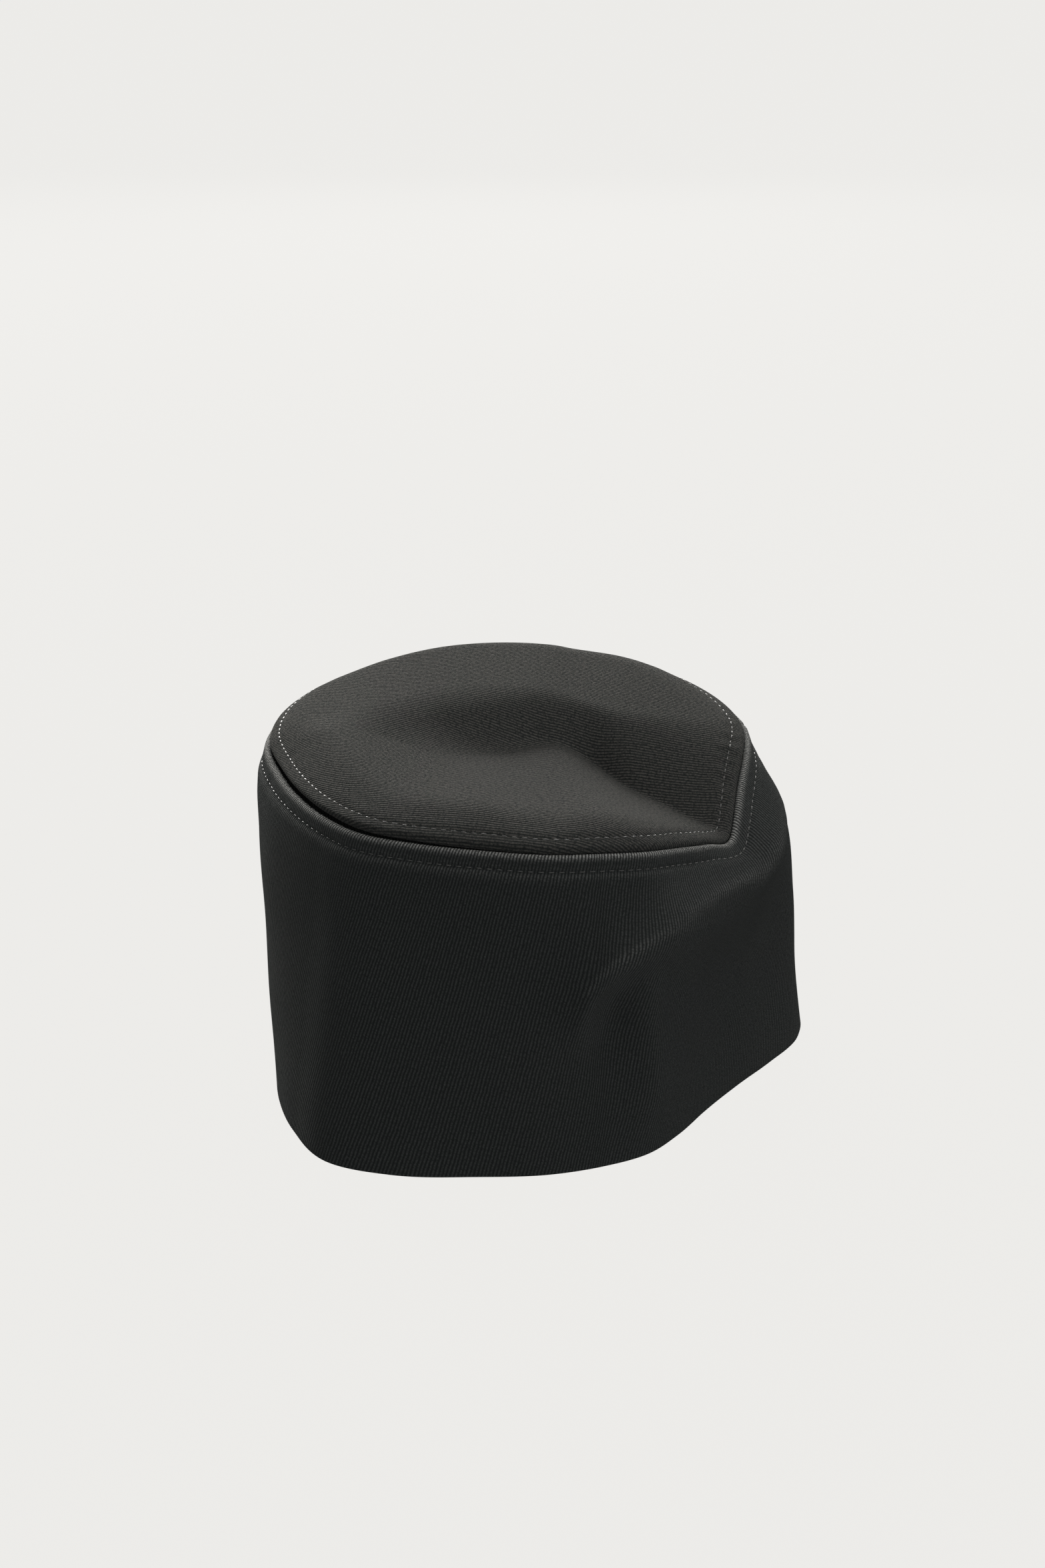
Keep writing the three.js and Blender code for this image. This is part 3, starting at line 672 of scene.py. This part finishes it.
# The top's rows, each given by its distance from the seam: close at the edge and the stitches, then
# even to the centre. Its columns meet the band's.
TIP_EVEN_ROWS = 56
EVEN_FROM = 17.2
tip_angles = round_angles
tip_near_edge = np.array([
    EDGE_SHOULDER, 3, 3.6, 4.2, 4.8, 5.3, 5.7, TIP_STITCH_FROM_SEAM, 6.3, 6.7, 7.2, 7.8, 8.5, 9.3,
    10.2, 11.2, 12.4, 13.8, 15.4, EVEN_FROM,
])[:, None]
_, to_centre = shares_from_seam(tip_outside, tip_angles, np.zeros((1, 1)), 0)
spacing = np.linspace(0, 1, TIP_EVEN_ROWS + 1)[1:, None]
tip_from_seam = np.vstack([
    tip_near_edge + 0 * to_centre, EVEN_FROM * (1 - spacing) + to_centre * spacing,
])
tip_shares, _ = shares_from_seam(tip_outside, tip_angles, tip_from_seam, 0)
tip_shares[-1] = 1
tip_normals = facing(tip_outside, tip_angles, np.minimum(tip_shares, JUST_SHORT))
tip_top = tip_outside(tip_angles, tip_shares)
tip_stand_out = stitched_relief(
    tip_from_seam * TOPSTITCH_FROM_SEAM / TIP_STITCH_FROM_SEAM,
    along_strip,
    TIP_DRAWN_IN,
    PUCKER + PUCKERED_MORE * swelling(tip_angles - PUCKERED_AT, PUCKERED_OVER),
)
left_front = swelling(tip_angles - PUFFED_AT, PUFFED_OVER)
tip_stand_out += PUFFED * swelling(tip_from_seam, PUFFED_WIDTH) * left_front
away_from_centre = np.clip((1 - tip_shares) / CENTRE_LEFT_EVEN, 0, 1)
tip_top = tip_top + tip_normals * (tip_stand_out * away_from_centre)[..., None]

# The tip's seam edge, and its allowance down inside
gapes = EDGE_GAPES * swelling(tip_angles - GAPES_AT, GAPES_OVER)[:, None]
roll, face_end, face_corner = turned_edge(
    tip_outside, -1, tip_angles, tip_top[0], SEAM_OPENING + 2 * gapes
)
allowance_shares, _ = shares_from_seam(tip_outside, tip_angles, allowance_at, 0)
tip_allowance = tip_outside(tip_angles, allowance_shares) - FOLDED_WOOL * facing(
    tip_outside, tip_angles, allowance_shares
)
out_of_allowance = bend_round(tip_allowance[0], face_corner, face_end)
tip_rows = np.stack(
    [*tip_allowance[::-1], *out_of_allowance, *roll[::-1], *tip_top]
)

# The tip's own measure: along its ribs as in plan, and across them by the way over the relief
PLAN_REACH = 130.0  # mm, a little past the tip's edge


def over_the_ribs(x, y):
    c, s = math.cos(RIBS_OF_TIP), math.sin(RIBS_OF_TIP)
    return c * x + s * y, c * y - s * x


plan = np.arange(-PLAN_REACH, PLAN_REACH + 0.5, 1.0)
plan_along, plan_across = np.meshgrid(plan, plan, indexing="ij")
plan_x = plan_along * math.cos(RIBS_OF_TIP) - plan_across * math.sin(RIBS_OF_TIP)
plan_y = plan_along * math.sin(RIBS_OF_TIP) + plan_across * math.cos(RIBS_OF_TIP)
plan_height = tip_relief(plan_x, plan_y)
climb_steps = np.hypot(1.0, np.diff(plan_height, axis=1))
over_relief = np.concatenate([np.zeros((len(plan), 1)), np.cumsum(climb_steps, axis=1)], axis=1)
over_relief -= over_relief[:, len(plan) // 2][:, None]


# The way over the relief at places between the plan's own
def measured(along, across):
    i = np.clip(along - plan[0], 0, len(plan) - 1.001)
    j = np.clip(across - plan[0], 0, len(plan) - 1.001)
    i0, j0 = i.astype(int), j.astype(int)
    fi, fj = i - i0, j - j0
    low = over_relief[i0, j0] * (1 - fi) + over_relief[i0 + 1, j0] * fi
    high = over_relief[i0, j0 + 1] * (1 - fi) + over_relief[i0 + 1, j0 + 1] * fi
    return low * (1 - fj) + high * fj


top_starts = len(tip_rows) - len(tip_top)
along_ribs, across_ribs = over_the_ribs(tip_rows[..., 0], tip_rows[..., 1])
across_ribs = measured(along_ribs, across_ribs)
edge_steps = np.linalg.norm(np.diff(tip_rows[: top_starts + 1], axis=0), axis=-1)[::-1]
past_edge = np.cumsum(edge_steps, axis=0)[::-1]
outward = unit(seam_line(tip_angles)[:, :2] - TIP_CENTRE)
out_along, out_across = over_the_ribs(outward[:, 0], outward[:, 1])
along_ribs[:top_starts] = along_ribs[top_starts] + past_edge * out_along
across_ribs[:top_starts] = across_ribs[top_starts] + past_edge * out_across

crown_tip = lay_cloth("tip_cloth", tip_rows, across_ribs, along_ribs, 0.0)
crown_tip.data.materials.append(wool_cloth(
    "black_wool_tip", turn=0.0, rib_height=0.2, grain=10.0, crest_black=TIP_CREST_PAINTED_LIGHT,
))
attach(crown_tip, "root")
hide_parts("crown_tip")

# Topstitching. A row of lockstitch in thin charcoal thread runs round on each side of the seam and
# holds its allowance flat. Each stitch that shows is a short thread that dips into the cloth at
# both ends.

STITCH_PITCH = 3.5  # mm
STITCH_LENGTH = 2.2
THREAD = 0.4  # mm thick
THREAD_NARROWS = 0.35  # toward both ends
THREAD_BOWS = 0.3  # in thicknesses, all along
THREAD_DIPS = 0.5  # in thicknesses, at the very ends
ABOVE_CLOTH = 0.02  # mm

bpy.ops.object.select_all(action="DESELECT")
bpy.ops.mesh.primitive_cylinder_add(
    vertices=6, radius=THREAD / 2000, depth=STITCH_LENGTH / 1000, rotation=(0, math.pi / 2, 0),
)
stitch = bpy.context.object
stitch.name = "one_stitch"
bpy.ops.object.transform_apply(location=True, rotation=True, scale=True)
bpy.ops.object.mode_set(mode="EDIT")
for cut in (-0.75, -0.35, 0.0, 0.35, 0.75):
    bpy.ops.mesh.select_all(action="SELECT")
    bpy.ops.mesh.bisect(
        plane_co=(cut * STITCH_LENGTH / 2000, 0, 0), plane_no=(1, 0, 0), use_fill=False,
    )
bpy.ops.mesh.select_all(action="DESELECT")
bpy.ops.object.mode_set(mode="OBJECT")
for vertex in stitch.data.vertices:
    end = abs(vertex.co.x) / (STITCH_LENGTH / 2000)
    vertex.co.yz *= 1 - THREAD_NARROWS * end**3
    vertex.co.z -= (THREAD_BOWS * end**2 + THREAD_DIPS * end**6) * THREAD / 1000
bpy.ops.object.shade_smooth()


# Lays the stitch again and again along a line on the cloth, and joins the copies
def sew_row(name, line, normals):
    gone = np.append(0, np.cumsum(np.linalg.norm(np.diff(line, axis=0), axis=-1)))
    count = round(gone[-1] / STITCH_PITCH)
    middles = (np.arange(count) + 0.5) * gone[-1] / count
    at = lambda s: np.array([np.interp(s, gone, line[:, k]) for k in range(3)])
    copies = []
    for middle in middles:
        ahead = unit(at(middle + 1) - at(middle - 1))
        up = np.array([np.interp(middle, gone, normals[:, k]) for k in range(3)])
        up = unit(up - ahead * np.dot(up, ahead))
        side = np.cross(up, ahead)
        place = (at(middle) + AXIS + ABOVE_CLOTH * up) / 1000
        copy = stitch.copy()
        copy.data = stitch.data.copy()
        bpy.context.collection.objects.link(copy)
        copy.matrix_world = Matrix([
            (ahead[k], side[k], up[k], place[k]) for k in range(3)
        ] + [(0, 0, 0, 1)])
        copies.append(copy)
    bpy.ops.object.select_all(action="DESELECT")
    for copy in copies:
        copy.select_set(True)
    bpy.context.view_layer.objects.active = copies[0]
    bpy.ops.object.join()
    bpy.ops.object.transform_apply(location=True, rotation=True, scale=True)
    row = bpy.context.object
    row.name = row.data.name = name
    return row


# Charcoal thread, twisted from fine plies
THREAD_DARK = (0.012, 0.012, 0.0115, 1)
THREAD_PALE = (0.045, 0.044, 0.042, 1)
PLY_HEIGHT = 0.04  # mm
thread = bpy.data.materials.new("charcoal_thread")
thread.use_nodes = True
tree = thread.node_tree
surface = tree.nodes["Principled BSDF"]
place = node(tree, "ShaderNodeTexCoord").outputs["Object"]
twist = node(
    tree, "ShaderNodeTexNoise", {"Vector": place, "Scale": 2600.0, "Detail": 2.0},
).outputs["Fac"]
tint = node(tree, "ShaderNodeMix", {0: twist, 6: THREAD_DARK, 7: THREAD_PALE}, data_type="RGBA")
tree.links.new(tint.outputs[2], surface.inputs["Base Color"])
ply = node(tree, "ShaderNodeBump", {"Height": twist, "Distance": PLY_HEIGHT / 1000})
tree.links.new(ply.outputs["Normal"], surface.inputs["Normal"])
surface.inputs["Roughness"].default_value = 0.6

band_stitch_row = EVEN_ROWS + int(np.where(near_edge[:, 0] == TOPSTITCH_FROM_SEAM)[0][0])
band_topstitch = sew_row("band_topstitch", outer[band_stitch_row], band_normals[band_stitch_row])
tip_stitch_row = int(np.where(tip_near_edge[:, 0] == TIP_STITCH_FROM_SEAM)[0][0])
tip_topstitch = sew_row("tip_topstitch", tip_top[tip_stitch_row], tip_normals[tip_stitch_row])
bpy.data.objects.remove(stitch)
for row, cloth_slot in ((band_topstitch, "side_band"), (tip_topstitch, "crown_tip")):
    row.data.materials.clear()
    row.data.materials.append(thread)
    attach(row, "root")

# Stand and light. A plain pale floor that runs out of view and glows softly, broad soft lights, the
# strongest of them low behind the cap, and pale fill all round.

FLOOR_BLACK = (0.0015, 0.0015, 0.0015, 1)
FLOOR_LIGHT = (1.0, 0.99, 0.965, 1)
FLOOR_GLOW = 0.49  # as the cap sees it
FLOOR_SEEN = 0.84  # as the camera sees it
FILL = 0.22

bpy.ops.object.select_all(action="DESELECT")
bpy.ops.mesh.primitive_plane_add(size=30, location=(0, 0, 0))
floor = bpy.context.object
floor.name = "floor"
paint = bpy.data.materials.new("pale_floor")
paint.use_nodes = True
tree = paint.node_tree
surface = tree.nodes["Principled BSDF"]
surface.inputs["Base Color"].default_value = FLOOR_BLACK
surface.inputs["Roughness"].default_value = 1.0
surface.inputs["Specular IOR Level"].default_value = 0.0
surface.inputs["Emission Color"].default_value = FLOOR_LIGHT
seen = node(tree, "ShaderNodeLightPath").outputs["Is Camera Ray"]
glow = node(
    tree, "ShaderNodeMapRange", {"Value": seen, "To Min": FLOOR_GLOW, "To Max": FLOOR_SEEN},
).outputs["Result"]
tree.links.new(glow, surface.inputs["Emission Strength"])
floor.data.materials.append(paint)

sky = bpy.data.worlds.new("studio")
bpy.context.scene.world = sky
sky.use_nodes = True
sky.node_tree.nodes["Background"].inputs["Color"].default_value = (1.0, 1.0, 0.99, 1)
sky.node_tree.nodes["Background"].inputs["Strength"].default_value = FILL

LOOK = np.array([-0.9317, 0.3633, 0.0])  # level direction from the camera to the cap
RIGHT = np.array([0.3633, 0.9317, 0.0])
LIT_MIDDLE = Vector((0, 0, 0.08))
LIGHT_SIZE = 0.7
WARM, COOL, WHITE = (1.0, 0.98, 0.95), (0.97, 1.0, 1.0), (1.0, 1.0, 1.0)


# A square soft light, placed in m from the cap's base, with its power in watts
def soft_light(name, right, behind, up, power, colour):
    lamp = bpy.data.lights.new(name, "AREA")
    lamp.shape = "SQUARE"
    lamp.size = LIGHT_SIZE
    lamp.energy = power
    lamp.color = colour
    hung = bpy.data.objects.new(name, lamp)
    bpy.context.collection.objects.link(hung)
    hung.location = Vector(RIGHT * right + LOOK * behind) + Vector((0, 0, up))
    hung.rotation_mode = "QUATERNION"
    hung.rotation_quaternion = (LIT_MIDDLE - hung.location).to_track_quat("-Z", "Y")


soft_light("behind", 0, 1.545, 0.494, 100, WARM)
soft_light("behind left", -0.773, 1.338, 0.494, 94, WARM)
soft_light("behind right", 0.703, 1.004, 1.108, 18, WARM)
soft_light("overhead", 0, 0.278, 1.656, 20, WARM)
soft_light("in front", 0, -1.545, 0.494, 10.7, COOL)
soft_light("from the right", 1.54, -0.135, 0.494, 9.6, WHITE)

# Camera. It stands above the floor at the photo's angle to the cap and looks down on it without
# roll. The focal length was found in pixels of the photo, which is taller than it is wide.

CAMERA_PLACE = (1.0718, -0.4257, 0.5506)
LOOKS_DOWN = math.radians(21)
FOCAL_LENGTH = 5200
PHOTO_HEIGHT = 2352
SENSOR = 36

bpy.ops.object.camera_add(location=CAMERA_PLACE)
camera = bpy.context.object
camera.name = "camera"
camera.data.sensor_width = SENSOR
camera.data.lens = SENSOR * FOCAL_LENGTH / PHOTO_HEIGHT
camera.rotation_mode = "QUATERNION"
gaze = Vector(LOOK) * math.cos(LOOKS_DOWN) + Vector((0, 0, -math.sin(LOOKS_DOWN)))
camera.rotation_quaternion = gaze.to_track_quat("-Z", "Y")
bpy.context.scene.camera = camera
bpy.context.scene.view_settings.view_transform = "Standard"
